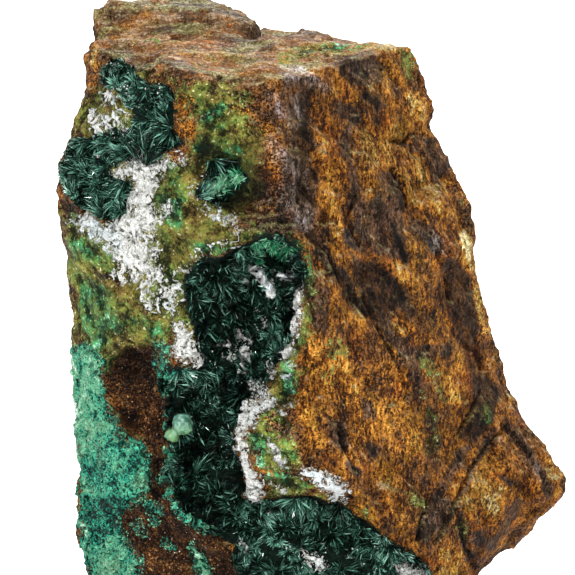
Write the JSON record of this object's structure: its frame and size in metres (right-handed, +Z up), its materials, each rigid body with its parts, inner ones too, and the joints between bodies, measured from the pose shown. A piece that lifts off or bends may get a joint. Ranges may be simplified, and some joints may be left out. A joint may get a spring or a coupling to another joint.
{
  "type": "atacamite specimen",
  "caption": "Broken block of brown ironstone with mats of dark green atacamite crystals, white clay, a turquoise crust and a green bead on its front.",
  "frame": {"origin": "middle of the flat base, on the surface it stands on", "axes": "+Z up, along the tallest extent; -Y towards the front with the crystals; +X to the right seen from the front"},
  "size_m": [0.057, 0.0361, 0.065],
  "materials": {
    "ironstone": "matte",
    "atacamite": "gloss",
    "clay": "matte",
    "turquoise_crust": "matte",
    "chrysocolla": "gloss"
  },
  "bodies": {
    "root": {"matrix": "ironstone", "atacamite_upper": "atacamite", "atacamite_side": "atacamite", "atacamite_centre": "atacamite", "atacamite_lower": "atacamite", "clay_upper": "clay", "clay_lip": "clay", "clay_shelf": "clay", "turquoise_crust": "turquoise_crust", "chrysocolla_bead": "chrysocolla"}
  },
  "joints": []
}
